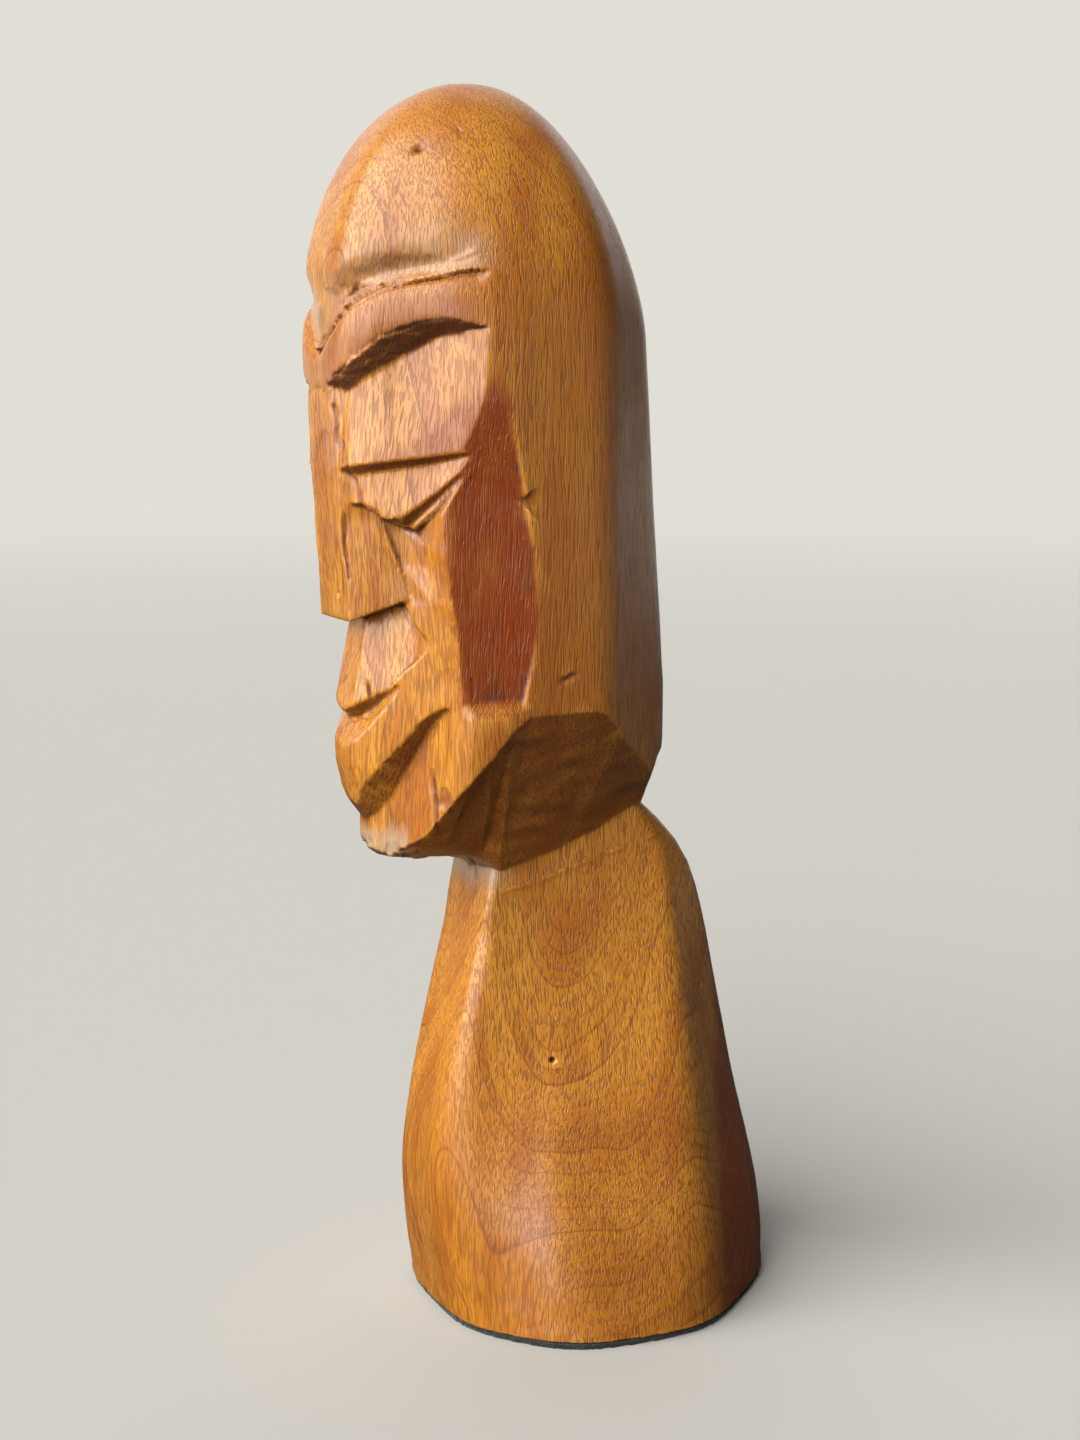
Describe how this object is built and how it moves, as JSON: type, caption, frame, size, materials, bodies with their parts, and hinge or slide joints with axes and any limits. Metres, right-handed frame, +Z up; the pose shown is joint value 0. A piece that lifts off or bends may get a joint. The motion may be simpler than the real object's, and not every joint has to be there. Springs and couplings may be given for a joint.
{
  "type": "wooden bust",
  "caption": "Carved wooden bust of a long-headed figure with slab nose, slit eyes and full lips, on a rounded block torso that stands on a thin felt pad.",
  "frame": {"origin": "middle of the felt pad's underside, where the bust stands", "axes": "+Z up, -Y the way the figure faces, +X towards the figure's left"},
  "size_m": [0.0748, 0.0971, 0.2509],
  "materials": {
    "varnished_wood": "thin satin varnish over honey brown hardwood, open pores",
    "black_felt": "matt black felt"
  },
  "bodies": {
    "root": {"bust": "varnished_wood", "felt_pad": "black_felt"}
  },
  "joints": []
}
